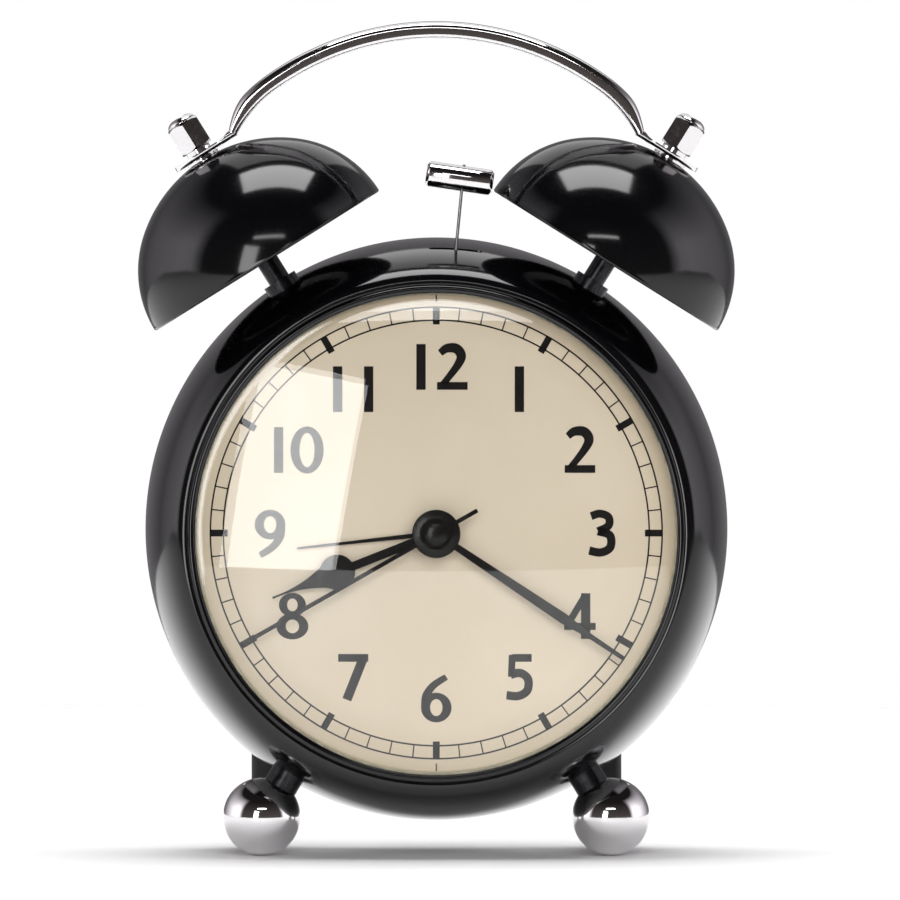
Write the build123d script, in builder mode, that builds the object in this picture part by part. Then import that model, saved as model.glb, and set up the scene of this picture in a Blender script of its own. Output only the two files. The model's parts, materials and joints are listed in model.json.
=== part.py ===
from build123d import *
from math import atan2, cos, degrees, pi, radians, sin, sqrt
import os

# Twin-bell quartz alarm clock. Millimetres, +Z up, the dial faces -Y.
# The origin is on the table, under the middle of the clock.

# ---- driving dimensions ----
case_z = 64.0            # height of the dial's centre
case_r = 58.0            # largest radius of the case
case_front = -20.0       # front of the case's shoulder
case_crown = 15.0        # depth at which the case is widest
case_back = 17.0
shell_t = 1.2
aperture_r = 47.3
shoulder_r = 49.3        # where the rounded shoulder starts, outside the bead
glass_y = -18.8          # inside face of the front lip
dial_front = -13.0
dial_t = 0.5
cover_back = 19.5
cover_r = 56.6

bell_y = -2.0            # depth of the bells' axes, posts and handle
bell_tilt = 32.0         # each bell leans out from vertical by this much
bell_r = 26.15
bell_h = 23.8
bell_t = 0.9
rim_at = 63.0            # rim plane, measured from the dial's centre along the bell's axis
post_r = 2.2
stud_r = 1.5

ball_r = 7.7
foot_at = 66.0           # ball's centre from the dial's centre
foot_y = -6.0

handle_r = 58.0          # outer radius over the top of the handle
handle_z = 42.8          # its centre above the dial's centre
handle_sweep = 36.0      # where the tighter side arcs begin, from the top, each way
handle_side_r = 28.0     # outer radius of the side arcs
handle_end = 62.0        # the strip's end, from the top, each way
handle_w = 10.0
handle_h = 3.2

hammer_y = -7.5
pivot_x = 3.1
pivot_z = 47.7
head_r = 2.5
head_len = 13.3
slot_w = 1.8

play = 0.05              # radial clearance of a running fit
cell_r = 7.25
cell_len = 50.5
cell_y = 9.4
cell_z = (-22.0, -36.7)  # the two cells, from the dial's centre

knob_r = 7.0
knob_back = 28.15
movement_w = 56.0
movement_h = 50.0

case_axis = Axis((0, 0, case_z), (0, 1, 0))
# A half-profile drawn here is (radius, depth) and turns about the dial's axis.
case_section = Plane.XY.offset(case_z)

os.makedirs("parts", exist_ok=True)


def finish(piece, label):
    piece.part.label = label
    export_step(piece.part, "parts/" + label + ".step")


def facing(y, x=0.0, z=0.0):
    # plane that faces the viewer at depth y, x and z from the dial's centre
    return Plane(origin=(x, y, case_z + z), x_dir=(1, 0, 0), z_dir=(0, -1, 0))


def ring(outer, inner, front, back, x=0.0, z=0.0, mode=Mode.ADD):
    # a disc or ring between two depths, added to the part being built
    with BuildSketch(facing(back, x, z)) as outline:
        Circle(outer)
        if inner:
            Circle(inner, mode=Mode.SUBTRACT)
    extrude(outline.sketch, amount=back - front, mode=mode)


def block(width, height, front, back, x=0.0, z=0.0, corner=0.0, mode=Mode.ADD):
    # a rectangular block between two depths, with rounded corners if asked
    with BuildSketch(facing(back, x, z)) as outline:
        if corner:
            RectangleRounded(width, height, corner)
        else:
            Rectangle(width, height)
    extrude(outline.sketch, amount=back - front, mode=mode)


def gear(teeth, module, front, back, x=0.0, z=0.0, tooth_at=0.0, bore=0.0):
    # straight-flanked clock teeth, thinned for backlash; tooth_at is one tooth's angle
    root = module * (teeth / 2 - 1.1)
    tip = module * (teeth / 2 + 0.72)
    root_half = 0.27 * pi * module
    tip_half = 0.10 * pi * module
    with BuildSketch(facing(back, x, z)) as outline:
        Circle(root)
        with PolarLocations(0, teeth, start_angle=tooth_at):
            Polygon(
                (root * 0.96, -root_half),
                (tip, -tip_half),
                (tip, tip_half),
                (root * 0.96, root_half),
                align=None,
            )
        if bore:
            Circle(bore, mode=Mode.SUBTRACT)
    extrude(outline.sketch, amount=back - front)


def spoke(side, distance, y, tilt, down=False):
    # plane across a spoke of the case: its normal points away from the dial's centre
    rise = -cos(radians(tilt)) if down else cos(radians(tilt))
    out = (side * sin(radians(tilt)), 0, rise)
    origin = (out[0] * distance, y, case_z + out[2] * distance)
    return Plane(origin=origin, x_dir=(0, 1, 0), z_dir=out)


def spoke_rod(radius, start, end, y, tilt, down=False, bore=0.0, mode=Mode.ADD, sides=(1, -1)):
    for side in sides:
        with BuildSketch(spoke(side, start, y, tilt, down)) as outline:
            Circle(radius)
            if bore:
                Circle(bore, mode=Mode.SUBTRACT)
        extrude(outline.sketch, amount=end - start, mode=mode)


bell_spoke = (sin(radians(bell_tilt)), 0, cos(radians(bell_tilt)))
bell_axis = Axis((0, bell_y, case_z), bell_spoke)
# A half-profile drawn here is (radius, distance along the right bell's axis).
bell_across = (cos(radians(bell_tilt)), 0, -sin(radians(bell_tilt)))
bell_section = Plane(origin=(0, bell_y, case_z), x_dir=bell_across, z_dir=(0, -1, 0))
foot_tilt = 31.5

# ---- case ----
with BuildPart() as case_envelope:
    with BuildSketch(case_section):
        with BuildLine():
            Line((0, case_front), (shoulder_r, case_front))
            EllipticalCenterArc(
                (shoulder_r, case_crown),
                case_r - shoulder_r,
                case_crown - case_front,
                start_angle=270,
                arc_size=90,
            )
            Line((case_r, case_crown), (case_r, case_back))
            Line((case_r, case_back), (0, case_back))
            Line((0, case_back), (0, case_front))
        make_face()
    revolve(axis=case_axis)

with BuildPart() as case_shell:
    with BuildSketch(case_section):
        with BuildLine():
            Line((aperture_r, glass_y), (aperture_r, case_front + 0.4))
            ThreePointArc(
                (aperture_r, case_front + 0.4),
                (aperture_r + 0.8, case_front - 0.3),
                (shoulder_r - 0.4, case_front + 0.4),
            )
            Line((shoulder_r - 0.4, case_front + 0.4), (shoulder_r, case_front + 0.4))
            Line((shoulder_r, case_front + 0.4), (shoulder_r, case_front))
            EllipticalCenterArc(
                (shoulder_r, case_crown),
                case_r - shoulder_r,
                case_crown - case_front,
                start_angle=270,
                arc_size=90,
            )
            ThreePointArc((case_r, case_crown), (case_r - 0.35, case_back - 0.65), (case_r - 1.2, case_back))
            Line((case_r - 1.2, case_back), (53.5, case_back))
            Line((53.5, case_back), (53.5, case_back - shell_t))
            Line((53.5, case_back - shell_t), (case_r - shell_t, case_back - shell_t))
            Line((case_r - shell_t, case_back - shell_t), (case_r - shell_t, case_crown))
            EllipticalCenterArc(
                (shoulder_r, case_crown),
                case_r - shoulder_r - shell_t,
                case_crown - glass_y,
                start_angle=270,
                arc_size=90,
            )
            Line((shoulder_r, glass_y), (aperture_r, glass_y))
        make_face()
    revolve(axis=case_axis)
    with BuildSketch(Plane.XY.offset(case_z + 50)):
        with Locations((3.8, hammer_y)):
            SlotOverall(10.6, slot_w)
    extrude(amount=12, mode=Mode.SUBTRACT)
    spoke_rod(stud_r + play, 40, 62, bell_y, bell_tilt, mode=Mode.SUBTRACT)
    spoke_rod(stud_r + play, 40, 62, foot_y, foot_tilt, down=True, mode=Mode.SUBTRACT)
finish(case_shell, "case_shell")

# ---- glass, dial and the frame that clamps them ----
gasket_t = 0.3
flange_t = 1.2
glass_r = 48.8
dome_y = -24.0           # the dome's highest point
dome_t = 1.5
flange_front = glass_y + gasket_t
flange_back = flange_front + flange_t

with BuildPart() as crystal_gasket:
    ring(glass_r, aperture_r, glass_y, flange_front)
finish(crystal_gasket, "crystal_gasket")


def dome_arc(rim_r, rim_y, top_y):
    # the arc of a shallow dome, from its top on the axis out to its rim
    rise = rim_y - top_y
    radius = (rim_r**2 + rise**2) / (2 * rise)
    half_r = rim_r / 2
    half_y = top_y + radius - sqrt(radius**2 - half_r**2)
    return ThreePointArc((0, top_y), (half_r, half_y), (rim_r, rim_y))


with BuildPart() as crystal:
    with BuildSketch(case_section):
        with BuildLine():
            dome_arc(aperture_r - 0.3, flange_front, dome_y)
            Line((aperture_r - 0.3, flange_front), (glass_r, flange_front))
            Line((glass_r, flange_front), (glass_r, flange_back))
            Line((glass_r, flange_back), (aperture_r - 0.5, flange_back))
            dome_arc(aperture_r - 0.5, flange_back, dome_y + dome_t)
            Line((0, dome_y), (0, dome_y + dome_t))
        make_face()
    revolve(axis=case_axis)
finish(crystal, "crystal")

with BuildPart() as dial_spacer_ring:
    ring(glass_r, aperture_r - 0.3, flange_back, dial_front)
finish(dial_spacer_ring, "dial_spacer_ring")

bush_r = 3.4             # the movement's front bush, which locates the dial
dial_back = dial_front + dial_t
with BuildPart() as dial_plate:
    ring(glass_r, bush_r + play, dial_front, dial_back)
finish(dial_plate, "dial_plate")

frame_r = 49.2
frame_back = dial_back + 1.8
boss_r = 46.4
boss_angles = (25, 155, 215, 325)
cover_front = case_back - 1.5
with BuildPart() as inner_frame:
    ring(frame_r, 0, dial_back, frame_back)
    block(movement_w + 0.6, movement_h + 0.6, dial_back, frame_back, corner=2, mode=Mode.SUBTRACT)
    for angle in boss_angles:
        boss_x = boss_r * cos(radians(angle))
        boss_z = boss_r * sin(radians(angle))
        ring(2.6, 0, dial_back, cover_front, boss_x, boss_z)
        ring(1.0, 0, cover_front - 9, cover_front, boss_x, boss_z, mode=Mode.SUBTRACT)
finish(inner_frame, "inner_frame")

# ---- movement ----
plate_front = dial_back + 0.3
plate_t = 1.0
movement_back = 0.0
wall = 1.2
axis_distance = 12.24
motion_distance = 12.0
alarm_distance = 14.4
third_at = 90.0
motion_at = -30.0
alarm_at = 150.0


def polar(distance, angle):
    return distance * cos(radians(angle)), distance * sin(radians(angle))


third_x, third_z = polar(axis_distance, third_at)
motion_x, motion_z = polar(motion_distance, motion_at)
alarm_x, alarm_z = polar(alarm_distance, alarm_at)
step_x, step_z = polar(11.9, 225)
rotor_dx, rotor_dz = polar(7.2, 240)
rotor_x = step_x + rotor_dx
rotor_z = step_z + rotor_dz

second_arbor_r = 0.45
minute_tube_r = 0.95
clutch_play = 0.04       # between the cannon pinion's tube and the centre wheel
hour_tube_r = 1.6
alarm_tube_r = 2.3
pivot_r = 0.5
knob_shaft_r = 1.2
lug_x = 20.0
lug_z = movement_h / 2 + 3.0
plate_back = plate_front + plate_t

with BuildPart() as movement_housing:
    block(movement_w, movement_h, plate_front, movement_back - plate_t, corner=2)
    for x in (-lug_x, lug_x):
        for z in (-lug_z, lug_z):
            block(7, 8, frame_back, frame_back + 1.2, x, z, corner=1.5)
    inside = (movement_w - 2 * wall, movement_h - 2 * wall)
    block(*inside, plate_back, movement_back - plate_t, corner=1, mode=Mode.SUBTRACT)
    for x in (-lug_x, lug_x):
        for z in (-lug_z, lug_z):
            ring(1.1, 0, frame_back - 1, frame_back + 3, x, z * 1.05, mode=Mode.SUBTRACT)
    ring(bush_r, 0, dial_front, plate_front)
    ring(alarm_tube_r + play, 0, dial_front, plate_back, mode=Mode.SUBTRACT)
    for x, z in ((third_x, third_z), (motion_x, motion_z), (alarm_x, alarm_z), (step_x, step_z)):
        ring(pivot_r + play, 0, plate_front, plate_back, x, z, mode=Mode.SUBTRACT)
finish(movement_housing, "movement_housing")

with BuildPart() as movement_lid:
    block(movement_w, movement_h, movement_back - plate_t, movement_back, corner=2)
    for x, z in ((third_x, third_z), (step_x, step_z), (rotor_x, rotor_z), (0, 0)):
        ring(pivot_r + play, 0, movement_back - plate_t, movement_back, x, z, mode=Mode.SUBTRACT)
    for x, z in ((motion_x, motion_z), (alarm_x, alarm_z)):
        ring(knob_shaft_r + play, 0, movement_back - plate_t, movement_back, x, z, mode=Mode.SUBTRACT)
finish(movement_lid, "movement_lid")

# the layers of the train, from the dial backwards
layer_t = 0.7
alarm_layer = plate_back + 0.2
hour_layer = alarm_layer + 1.1
motion_layer = hour_layer + 1.1
centre_layer = motion_layer + 1.1
third_layer = centre_layer + 1.1
second_layer = third_layer + 1.1
step_layer = second_layer + 1.1

alarm_hand_y = dial_front - 1.0
hour_hand_y = alarm_hand_y - 1.2
minute_hand_y = hour_hand_y - 1.2
second_hand_y = minute_hand_y - 1.1
hand_t = 0.3


def mesh_angle(towards, teeth):
    # angle of a tooth, so that a gap of this wheel faces a tooth of the other one
    return towards + 180.0 / teeth


with BuildPart() as alarm_wheel:
    gear(40, 0.48, alarm_layer, alarm_layer + layer_t, tooth_at=alarm_at)
    ring(alarm_tube_r, 0, alarm_hand_y - 0.2, alarm_layer)
    ring(hour_tube_r + play, 0, alarm_hand_y - 0.2, alarm_layer + layer_t, mode=Mode.SUBTRACT)
finish(alarm_wheel, "alarm_wheel")

with BuildPart() as alarm_pinion:
    gear(20, 0.48, alarm_layer, alarm_layer + layer_t, alarm_x, alarm_z, mesh_angle(alarm_at + 180, 20))
    ring(pivot_r, 0, plate_front + 0.1, alarm_layer, alarm_x, alarm_z)
    ring(1.6, 0, alarm_layer + layer_t, alarm_layer + 2.0, alarm_x, alarm_z)
finish(alarm_pinion, "alarm_pinion")

with BuildPart() as hour_wheel:
    gear(40, 0.48, hour_layer, hour_layer + layer_t, tooth_at=mesh_angle(motion_at, 40))
    ring(hour_tube_r, 0, hour_hand_y - 0.2, hour_layer)
    ring(minute_tube_r + play, 0, hour_hand_y - 0.2, hour_layer + layer_t, mode=Mode.SUBTRACT)
finish(hour_wheel, "hour_wheel")

with BuildPart() as motion_wheel:
    gear(36, 0.5, motion_layer, motion_layer + layer_t, motion_x, motion_z, mesh_angle(motion_at + 180, 36))
    gear(10, 0.48, hour_layer - 0.1, motion_layer, motion_x, motion_z, motion_at + 180)
    ring(pivot_r, 0, plate_front + 0.1, hour_layer - 0.1, motion_x, motion_z)
    ring(0.75, 0, motion_layer + layer_t, third_layer, motion_x, motion_z)
finish(motion_wheel, "motion_wheel")

with BuildPart() as centre_wheel:
    # a friction clutch: the wheel turns on the cannon pinion's tube when the hands are set
    gear(
        60,
        0.36,
        centre_layer,
        centre_layer + layer_t,
        tooth_at=mesh_angle(third_at, 60),
        bore=minute_tube_r + clutch_play,
    )
finish(centre_wheel, "centre_wheel")

with BuildPart() as cannon_pinion:
    gear(12, 0.5, motion_layer - 0.1, centre_layer - 0.05, tooth_at=motion_at)
    ring(minute_tube_r, 0, minute_hand_y - 0.2, centre_layer + layer_t)
    ring(second_arbor_r + play, 0, minute_hand_y - 0.2, centre_layer + layer_t, mode=Mode.SUBTRACT)
finish(cannon_pinion, "cannon_pinion")

with BuildPart() as third_wheel:
    gear(64, 0.34, third_layer, third_layer + layer_t, third_x, third_z, mesh_angle(third_at + 180, 64))
    gear(8, 0.36, centre_layer - 0.1, third_layer, third_x, third_z, third_at + 180)
    ring(pivot_r, 0, plate_front + 0.1, centre_layer - 0.1, third_x, third_z)
    ring(pivot_r, 0, third_layer + layer_t, movement_back - 0.1, third_x, third_z)
finish(third_wheel, "third_wheel")

with BuildPart() as second_wheel:
    gear(60, 0.34, second_layer, second_layer + layer_t, tooth_at=mesh_angle(225, 60))
    gear(8, 0.34, third_layer - 0.1, second_layer, tooth_at=third_at)
    ring(second_arbor_r, 0, second_hand_y, third_layer - 0.1)
    ring(pivot_r, 0, second_layer + layer_t, movement_back - 0.1)
finish(second_wheel, "second_wheel")

with BuildPart() as step_wheel:
    gear(40, 0.3, step_layer, step_layer + layer_t, step_x, step_z, mesh_angle(240, 40))
    gear(10, 0.34, second_layer - 0.1, step_layer, step_x, step_z, 45)
    ring(pivot_r, 0, plate_front + 0.1, second_layer - 0.1, step_x, step_z)
    ring(pivot_r, 0, step_layer + layer_t, movement_back - 0.1, step_x, step_z)
finish(step_wheel, "step_wheel")

magnet_r = 2.2
with BuildPart() as rotor:
    gear(8, 0.3, step_layer - 0.1, step_layer + layer_t + 0.1, rotor_x, rotor_z, 60)
    ring(magnet_r, 0, step_layer + layer_t + 0.1, movement_back - plate_t - 0.4, rotor_x, rotor_z)
    ring(pivot_r, 0, movement_back - plate_t - 0.4, movement_back - 0.1, rotor_x, rotor_z)
finish(rotor, "rotor")

stator_front = movement_back - plate_t - 1.5
coil_z = -20.0
coil_r = 2.9
coil_half = 8.0
with BuildPart() as stator:
    block(26, 7, stator_front, stator_front + 1.0, rotor_x, rotor_z, corner=2)
    for x in (rotor_x - 11, rotor_x + 11):
        block(4, 8.5, stator_front, stator_front + 1.0, x, coil_z + 2.2, corner=1)
    ring(magnet_r + 0.3, 0, stator_front - 1, stator_front + 2, rotor_x, rotor_z, mode=Mode.SUBTRACT)
finish(stator, "stator")

coil_start = (rotor_x - coil_half, stator_front - coil_r, case_z + coil_z)
coil_plane = Plane(origin=coil_start, x_dir=(0, 1, 0), z_dir=(1, 0, 0))
with BuildPart() as step_coil:
    with BuildSketch(coil_plane):
        Circle(coil_r - 0.2)
    extrude(amount=2 * coil_half)
    for start in (0, 2 * coil_half - 0.8):
        with BuildSketch(coil_plane.offset(start)):
            Circle(coil_r)
        extrude(amount=0.8)
finish(step_coil, "step_coil")

board_front = movement_back - plate_t - 2.6
with BuildPart() as circuit_board:
    block(20, 10, board_front, board_front + 1.0, 16, -18.4, corner=1)
finish(circuit_board, "circuit_board")

with BuildPart() as driver_chip:
    block(5, 5, board_front - 0.9, board_front, 12, -18.4)
finish(driver_chip, "driver_chip")

with BuildPart() as quartz_can:
    with BuildSketch(Plane(origin=(17, board_front - 1.05, case_z - 18.4), x_dir=(0, 1, 0), z_dir=(1, 0, 0))):
        Circle(1.0)
    extrude(amount=6)
    fillet(quartz_can.edges(), 0.3)
finish(quartz_can, "quartz_can")

with BuildPart() as frame_screws:
    for x in (-lug_x, lug_x):
        for z in (-lug_z, lug_z):
            ring(1.9, 0, frame_back + 1.2, frame_back + 2.2, x, z * 1.05)
            ring(0.95, 0, frame_back, frame_back + 1.2, x, z * 1.05)
            block(2.6, 0.5, frame_back + 1.8, frame_back + 2.3, x, z * 1.05, mode=Mode.SUBTRACT)
finish(frame_screws, "frame_screws")


# ---- hands ----
def hand_plane(y, clock_angle):
    # local y runs along the hand, clock_angle is clockwise from twelve
    turn = radians(clock_angle)
    return Plane(origin=(0, y, case_z), x_dir=(cos(turn), 0, -sin(turn)), z_dir=(0, -1, 0))


def hand(half_outline, y, clock_angle, boss, bore):
    # half_outline runs from the tail to the tip on the hand's right side
    left = [(-x, along) for x, along in reversed(half_outline)]
    with BuildSketch(hand_plane(y + hand_t, clock_angle)) as outline:
        Polygon(*half_outline, *left, align=None)
        Circle(boss)
        Circle(bore, mode=Mode.SUBTRACT)
    extrude(outline.sketch, amount=hand_t)


with BuildPart() as alarm_hand:
    hand([(0.5, 0), (0.34, 14), (0.2, 27.5)], alarm_hand_y, 263.8, 3.2, alarm_tube_r)
finish(alarm_hand, "alarm_hand")

with BuildPart() as hour_hand:
    with BuildSketch(hand_plane(hour_hand_y + hand_t, 248.5)):
        with BuildLine():
            Polyline((0.85, 0), (0.85, 18.5), (2.2, 23.6))
            ThreePointArc((2.2, 23.6), (0.95, 27.2), (0.22, 34.6))
            Line((0.22, 34.6), (-0.22, 34.6))
            ThreePointArc((-0.22, 34.6), (-0.95, 27.2), (-2.2, 23.6))
            Polyline((-2.2, 23.6), (-0.85, 18.5), (-0.85, 0), (0.85, 0))
        make_face()
        with Locations((0, 20.9)):
            Circle(3.5)
        Circle(2.9)
        Circle(hour_tube_r, mode=Mode.SUBTRACT)
    extrude(amount=hand_t)
finish(hour_hand, "hour_hand")

with BuildPart() as minute_hand:
    hand([(0.62, 0), (1.05, 30), (0.52, 36), (0.42, 44.3)], minute_hand_y, 123.7, 2.6, minute_tube_r)
finish(minute_hand, "minute_hand")

with BuildPart() as second_hand:
    hand([(0.42, -9.3), (0.42, 43.5)], second_hand_y, 240.3, 2.2, second_arbor_r)
finish(second_hand, "second_hand")

with BuildPart() as hub_cap:
    with BuildSketch(case_section):
        with BuildLine():
            Polyline((0, second_hand_y), (4.75, second_hand_y), (4.75, second_hand_y - 0.35))
            cap_edge = second_hand_y - 0.7
            ThreePointArc((4.75, cap_edge + 0.35), (4.6, cap_edge + 0.1), (4.3, cap_edge))
            Line((4.3, second_hand_y - 0.7), (3.0, second_hand_y - 0.7))
            EllipticalCenterArc((0, second_hand_y - 0.7), 3.0, 1.1, start_angle=270, arc_size=90)
            Line((0, second_hand_y - 1.8), (0, second_hand_y))
        make_face()
    revolve(axis=case_axis)
finish(hub_cap, "hub_cap")

# ---- bells, posts and handle ----
# The dome is two tangent arcs: one centred in the rim's plane, one on the bell's axis.
bell_side_r = 22.5
bell_crown_r = ((bell_r - bell_side_r) ** 2 + bell_h**2 - bell_side_r**2) / (2 * (bell_h - bell_side_r))
bell_join = degrees(atan2(bell_crown_r - bell_h, bell_r - bell_side_r))
with BuildPart() as bell_right:
    with BuildSketch(bell_section):
        with BuildLine():
            for skin in (0, bell_t):
                CenterArc((bell_r - bell_side_r, rim_at), bell_side_r - skin, 0, bell_join)
                CenterArc((0, rim_at + bell_h - bell_crown_r), bell_crown_r - skin, bell_join, 90 - bell_join)
            Line((0, rim_at + bell_h), (0, rim_at + bell_h - bell_t))
            Line((bell_r, rim_at), (bell_r - bell_t, rim_at))
        make_face()
    revolve(axis=bell_axis)
    fillet(bell_right.edges().filter_by(GeomType.CIRCLE).group_by(SortBy.LENGTH)[-1], 0.35)
    bore = stud_r + play
    spoke_rod(bore, rim_at + 10, rim_at + bell_h + 5, bell_y, bell_tilt, mode=Mode.SUBTRACT, sides=(1,))
finish(bell_right, "bell_right")

with BuildPart() as bell_left:
    add(bell_right.part)
    mirror(about=Plane.YZ, mode=Mode.REPLACE)
finish(bell_left, "bell_left")

collar_top = case_r + 0.6
under_bell = rim_at + bell_h - bell_t
over_bell = rim_at + bell_h
tab_t = 0.9
stud_top = over_bell + 7.0

with BuildPart() as bell_posts:
    spoke_rod(post_r, collar_top, under_bell, bell_y, bell_tilt)
    spoke_rod(stud_r, 51.0, collar_top, bell_y, bell_tilt)
    spoke_rod(stud_r, under_bell, stud_top, bell_y, bell_tilt)
    add(bell_right.part, mode=Mode.SUBTRACT)
    add(bell_left.part, mode=Mode.SUBTRACT)
finish(bell_posts, "bell_posts")

with BuildPart() as post_collars:
    spoke_rod(3.5, 54.5, collar_top, bell_y, bell_tilt, bore=stud_r)
    add(case_envelope.part, mode=Mode.SUBTRACT)
finish(post_collars, "post_collars")


def hex_nuts(distance, height, across_flats, y, tilt, down, bore):
    for side in (1, -1):
        with BuildSketch(spoke(side, distance, y, tilt, down)) as outline:
            RegularPolygon(across_flats / 2, 6, major_radius=False)
            Circle(bore, mode=Mode.SUBTRACT)
        extrude(outline.sketch, amount=height)


with BuildPart() as post_nuts:
    hex_nuts(52.0, 2.4, 5.5, bell_y, bell_tilt, False, stud_r)
finish(post_nuts, "post_nuts")

tab_at = over_bell + 0.35
with BuildPart() as bell_washers:
    spoke_rod(3.4, over_bell - 0.1, tab_at, bell_y, bell_tilt, bore=stud_r)
    add(bell_right.part, mode=Mode.SUBTRACT)
    add(bell_left.part, mode=Mode.SUBTRACT)
finish(bell_washers, "bell_washers")

strip_t = 1.1
handle_in = handle_r - handle_side_r
side_x = handle_in * sin(radians(handle_sweep))
side_z = handle_z + handle_in * cos(radians(handle_sweep))


def handle_strip(x, z, outer, start, sweep, solid=False):
    # a crowned section turned about an arc's centre, from one angle off the top
    along = radians(start)
    origin = (x, bell_y, case_z + z)
    edge = outer - handle_h
    outward = (sin(along), 0, cos(along))
    with BuildSketch(Plane(origin=origin, x_dir=outward, z_dir=(cos(along), 0, -sin(along)))) as outline:
        with BuildLine():
            ThreePointArc((edge, -handle_w / 2), (outer, 0), (edge, handle_w / 2))
            if solid:
                Polyline((edge, handle_w / 2), (edge - 0.5, 0), (edge, -handle_w / 2))
            else:
                Line((edge, handle_w / 2), (edge - 0.5, handle_w / 2 - 0.9))
                ThreePointArc(
                    (edge - 0.5, handle_w / 2 - 0.9),
                    (outer - strip_t, 0),
                    (edge - 0.5, 0.9 - handle_w / 2),
                )
                Line((edge - 0.5, 0.9 - handle_w / 2), (edge, -handle_w / 2))
        make_face()
    revolve(outline.sketch, axis=Axis(origin, (0, 1, 0)), revolution_arc=sweep)


with BuildPart() as handle:
    handle_strip(side_x, side_z, handle_side_r, handle_sweep, handle_end - handle_sweep)
    # the crown closes at the end, above the tab
    handle_strip(side_x, side_z, handle_side_r, handle_end - 8, 8, solid=True)
    mirror(about=Plane.YZ)
    handle_strip(0, handle_z, handle_r, -handle_sweep, 2 * handle_sweep)
    for side in (1, -1):
        tab = spoke(side, tab_at, bell_y, bell_tilt)
        with BuildSketch(tab):
            with Locations((0, -0.4 * side)):
                SlotOverall(12.4, 9.4, rotation=90)
            with Locations((0, 5.7 * side)):
                Rectangle(7.6, 5.4)
            Circle(stud_r + play, mode=Mode.SUBTRACT)
        extrude(amount=tab_t)
finish(handle, "handle")

collar_at = tab_at + tab_t
hex_at = collar_at + 1.1
hex_h = 6.0
cap_flats = 6.4
nut_top = hex_at + hex_h
with BuildPart() as turned_nut:
    # collar, hexagon with its corners turned down, and a low dome
    with BuildSketch(bell_section):
        with BuildLine():
            Polyline((0, collar_at), (2.55, collar_at), (2.55, hex_at), (3.1, hex_at), (3.75, hex_at + 0.5))
            Polyline((3.75, hex_at + 0.5), (3.75, nut_top - 0.7), (2.9, nut_top))
            EllipticalCenterArc((0, nut_top), 2.9, 1.3, start_angle=0, arc_size=90)
            Line((0, nut_top + 1.3), (0, collar_at))
        make_face()
    revolve(axis=bell_axis)

with BuildPart() as cap_nuts:
    with BuildSketch(spoke(1, collar_at, bell_y, bell_tilt)):
        RegularPolygon(cap_flats / 2, 6, major_radius=False)
        Circle(stud_r, mode=Mode.SUBTRACT)
    extrude(amount=nut_top + 2 - collar_at)
    add(turned_nut.part, mode=Mode.INTERSECT)
    with BuildSketch(spoke(1, stud_top, bell_y, bell_tilt)):
        Circle(stud_r)
    extrude(amount=1.0)
    mirror(about=Plane.YZ)
finish(cap_nuts, "cap_nuts")

# ---- feet ----
foot_out = (sin(radians(foot_tilt)), 0, -cos(radians(foot_tilt)))
for side, name in ((-1, "ball_foot_left"), (1, "ball_foot_right")):
    ball_x = side * foot_at * foot_out[0]
    with BuildPart() as ball_foot:
        with Locations((ball_x, foot_y, ball_r)):
            Sphere(ball_r)
        stud_end = foot_at - 2.5
        spoke_rod(stud_r, 51.0, stud_end, foot_y, foot_tilt, down=True, mode=Mode.SUBTRACT, sides=(side,))
        # a small flat where the ball rests on the table
        with Locations((ball_x, foot_y, 0.05)):
            Box(6, 6, 0.1, mode=Mode.SUBTRACT)
    finish(ball_foot, name)

with BuildPart() as foot_studs:
    spoke_rod(stud_r, 51.0, foot_at - 2.5, foot_y, foot_tilt, down=True)
finish(foot_studs, "foot_studs")

with BuildPart() as foot_collars:
    spoke_rod(3.4, 54.5, foot_at - ball_r + 1.2, foot_y, foot_tilt, down=True, bore=stud_r)
    add(case_envelope.part, mode=Mode.SUBTRACT)
    for side in (1, -1):
        with Locations((side * foot_at * foot_out[0], foot_y, ball_r)):
            Sphere(ball_r, mode=Mode.SUBTRACT)
finish(foot_collars, "foot_collars")

with BuildPart() as foot_nuts:
    hex_nuts(51.8, 2.4, 5.5, foot_y, foot_tilt, True, stud_r)
finish(foot_nuts, "foot_nuts")

# ---- rear cover and what it carries ----
window_w = 56.0
window_top = -14.4
window_bottom = -44.6
window_z = (window_top + window_bottom) / 2
window_h = window_top - window_bottom
tray_front = cell_y - cell_r - 0.9
cover_t = 1.8
cover_in = cover_back - cover_t
door_y = cover_back - 1.6    # floor of the recess that the battery door slides in
switch_x = 17.0
switch_z = 30.0

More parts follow.
